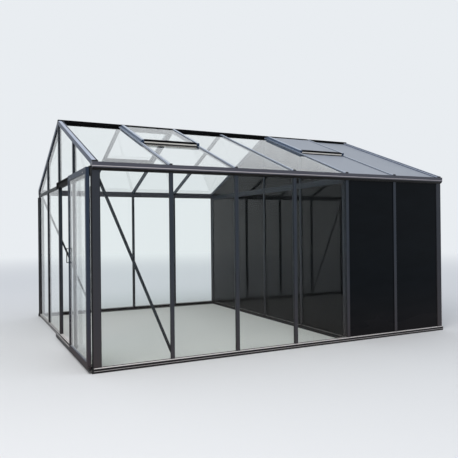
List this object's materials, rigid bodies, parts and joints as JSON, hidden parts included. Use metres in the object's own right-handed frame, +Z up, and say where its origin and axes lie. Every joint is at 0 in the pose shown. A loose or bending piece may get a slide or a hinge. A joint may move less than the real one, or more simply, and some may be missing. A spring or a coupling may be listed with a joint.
{
  "type": "glass greenhouse",
  "caption": "Glass greenhouse with a closed store behind a partition, a sliding gable door, shut roof vents, braced clear walls and a gutter along each side.",
  "frame": {"origin": "on the ground, in the middle of the footprint, the parked sliding leaf included", "axes": "+X along the ridge from the door gable to the store's gable, -Y is the front long wall, +Z up"},
  "size_m": [4.643, 3.968, 2.7602],
  "materials": {
    "frame_metal": "matt anthracite powder coat on aluminium profiles",
    "gutter_metal": "matt anthracite powder coat on the gutter profiles",
    "ridge_metal": "matt black powder coat on the ridge, the vents' cross rails and the door track",
    "clear_glass": "clear toughened float glass",
    "store_panel": "near-black gloss panel",
    "store_roof": "satin mid grey sheet",
    "black_plastic": "matt black moulded plastic",
    "brace_metal": "flat bar, powder coated"
  },
  "bodies": {
    "greenhouse": {"back_store_panels": "store_panel", "back_wall_bars": "frame_metal", "back_wall_glass": "clear_glass", "base_rail_back": "frame_metal", "base_rail_door_gable": "frame_metal", "base_rail_front": "frame_metal", "base_rail_rear_gable": "frame_metal", "corner_post_back_door": "frame_metal", "corner_post_back_rear": "frame_metal", "corner_post_front_door": "frame_metal", "corner_post_front_rear": "frame_metal", "door_floor_guide": "frame_metal", "door_gable_bars": "frame_metal", "door_gable_glass": "clear_glass", "door_gable_header": "frame_metal", "door_track": "ridge_metal", "door_verge": "frame_metal", "front_store_panels": "store_panel", "front_wall_bars": "frame_metal", "front_wall_glass": "clear_glass", "greenhouse_vent_panes": "clear_glass", "gutter_back": "gutter_metal", "gutter_end_plates": "gutter_metal", "gutter_front": "gutter_metal", "partition_bars": "frame_metal", "partition_base": "frame_metal", "partition_header": "frame_metal", "partition_panels": "store_panel", "partition_stiles": "frame_metal", "rear_gable_bars": "frame_metal", "rear_gable_header": "frame_metal", "rear_gable_panels": "store_panel", "rear_verge": "frame_metal", "ridge_beam": "ridge_metal", "ridge_end_plates": "ridge_metal", "roof_bar_plugs": "black_plastic", "roof_bars_back": "frame_metal", "roof_bars_front": "frame_metal", "roof_glass_back": "clear_glass", "roof_glass_front": "clear_glass", "store_roof_back": "store_roof", "store_roof_front": "store_roof", "store_vent_panes": "store_roof", "vent_end_rails": "ridge_metal", "vent_side_rails": "frame_metal", "vent_trimmers": "ridge_metal", "wall_braces": "brace_metal"},
    "sliding_leaf": {"door_stiles": "frame_metal", "door_rails": "frame_metal", "door_pane": "clear_glass", "door_rollers": "black_plastic", "door_handle": "black_plastic"}
  },
  "joints": [
    {"name": "door_slide", "type": "slide", "parent": "greenhouse", "child": "sliding_leaf", "axis": [0, 1, 0], "range_m": [0, 0.98]}
  ]
}
